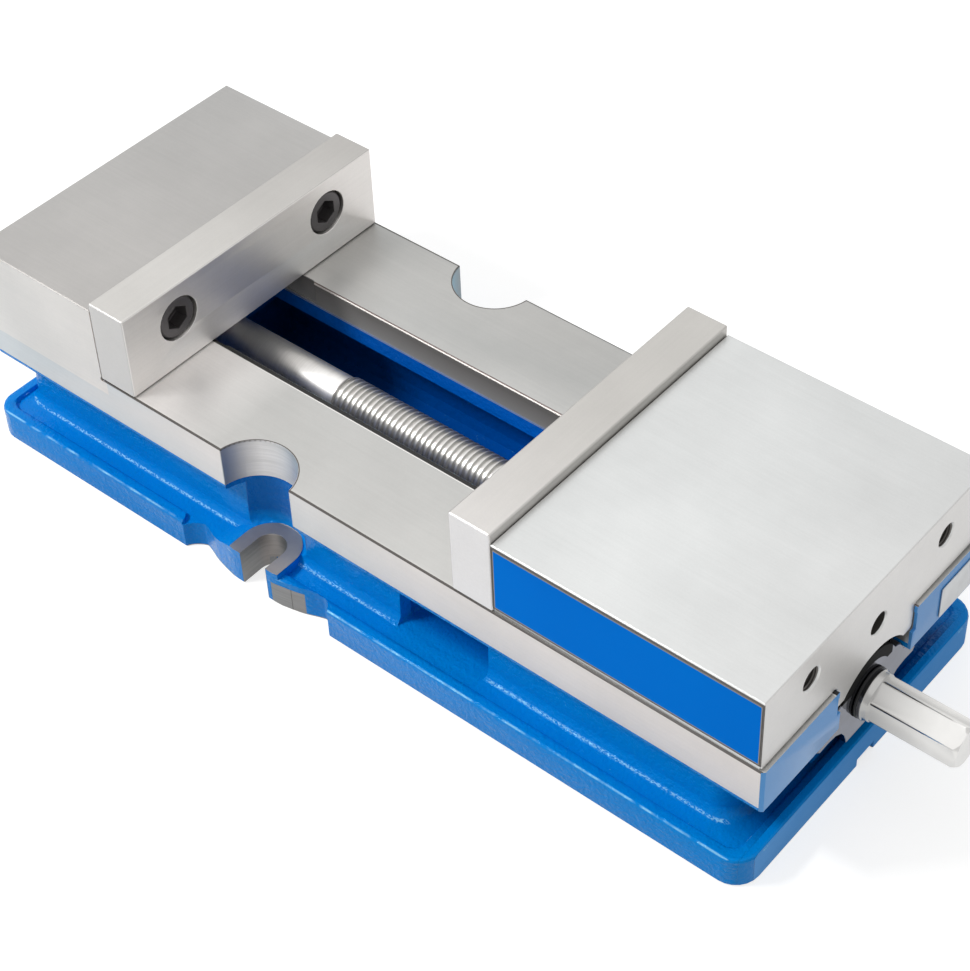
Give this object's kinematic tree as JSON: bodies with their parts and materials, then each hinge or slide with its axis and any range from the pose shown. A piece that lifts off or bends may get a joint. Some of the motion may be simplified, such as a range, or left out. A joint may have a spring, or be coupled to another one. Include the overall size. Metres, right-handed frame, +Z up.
{
  "type": "machine vise",
  "caption": "Precision machine vise with ground bed, fixed and sliding jaws with hard plates, painted flanged base and a hexagon-ended lead screw.",
  "frame": {"origin": "under the middle of the whole vise, on the surface it stands on", "axes": "+X along the bed from the fixed jaw towards the hexagon end of the screw, +Y across the jaws, +Z up"},
  "size_m": [0.6126, 0.224, 0.1437],
  "materials": {
    "blue_paint": "gloss paint on cast iron, with ground bed and fixed jaw block",
    "ground_steel": "ground",
    "hard_steel": "ground and hardened",
    "turned_steel": "turned",
    "black_steel": "black oxide",
    "dark_steel": "polished",
    "black_rubber": "matt",
    "bronze": "plain",
    "blue_panel": "satin",
    "bare_aluminium": "satin"
  },
  "bodies": {
    "base": {"body": "blue_paint", "fixed_jaw_plate": "hard_steel", "fixed_plate_screw_near": "black_steel", "fixed_plate_screw_far": "black_steel", "tail_bush": "bronze", "front_bush": "bronze", "thrust_washer_front": "hard_steel", "retainer_plate": "dark_steel", "seal_ring": "black_rubber", "id_plate": "bare_aluminium"},
    "sliding_jaw": {"moving_jaw": "ground_steel", "moving_jaw_plate": "hard_steel", "moving_plate_screw_near": "black_steel", "moving_plate_screw_far": "black_steel", "label_panel": "blue_panel", "screw_nut": "hard_steel", "half_ball_segment": "turned_steel", "jaw_set_screw": "black_steel"},
    "screw": {"lead_screw": "turned_steel", "thrust_collar": "turned_steel", "collar_pin": "turned_steel", "thrust_washer_rear": "hard_steel"},
    "bearing_cage": {"thrust_bearing": "hard_steel"}
  },
  "joints": [
    {"name": "jaw_slide", "type": "slide", "parent": "base", "child": "sliding_jaw", "axis": [1, 0, 0], "range_m": [-0.2356, 0]},
    {"name": "screw_turn", "type": "hinge", "parent": "base", "child": "screw", "pos_m": [0.1, 0, 0.0518], "axis": [1, 0, 0], "range_deg": [-22321, 0]},
    {"name": "cage_turn", "type": "hinge", "parent": "base", "child": "bearing_cage", "pos_m": [0.2, 0, 0.0518], "axis": [1, 0, 0], "range_deg": [-11161, 0]}
  ],
  "couplings": [
    {"joint": "screw_turn", "follows": "jaw_slide", "rad_per_m": 1653.5},
    {"joint": "cage_turn", "follows": "jaw_slide", "rad_per_m": 826.73}
  ]
}
